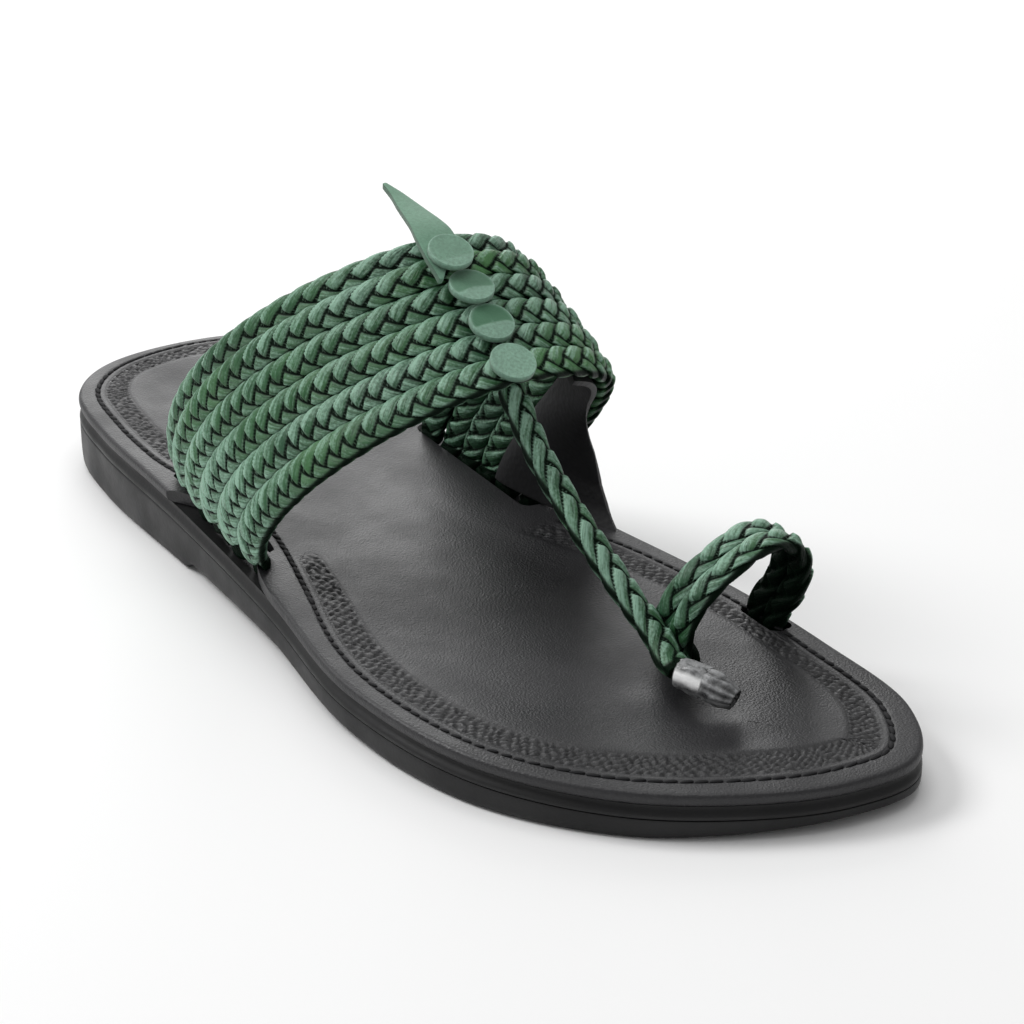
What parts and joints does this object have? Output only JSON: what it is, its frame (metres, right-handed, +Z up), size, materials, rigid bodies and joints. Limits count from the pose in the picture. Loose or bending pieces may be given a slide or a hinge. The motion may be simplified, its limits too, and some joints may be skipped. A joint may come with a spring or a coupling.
{
  "type": "kolhapuri sandal",
  "caption": "Flat leather kolhapuri sandal with a braided green cord band over the instep, a braided T-strap, a toe loop, small leather discs and a curled leather horn",
  "frame": {"origin": "centre of the bounding box in plan, on the floor plane under the sole", "axes": "+X towards the toe, +Y towards the wearer's left (the medial side), +Z up"},
  "size_m": [0.285, 0.1026, 0.0993],
  "materials": {
    "black_rubber": "satin, slightly worn",
    "black_leather": "satin smooth leather",
    "green_cord": "mottled dyed braid",
    "green_leather": "matte suede-like",
    "grey_wrap": "satin wrapped thread"
  },
  "bodies": {
    "root": {"outsole": "black_rubber", "midsole": "black_rubber", "footbed": "black_leather", "upper": "green_cord", "disc_1": "green_leather", "disc_2": "green_leather", "disc_3": "green_leather", "disc_4": "green_leather", "horn": "green_leather", "ferrule": "grey_wrap", "ferrule_knot": "grey_wrap", "ear_lateral": "black_leather", "ear_medial": "black_leather"}
  },
  "joints": []
}
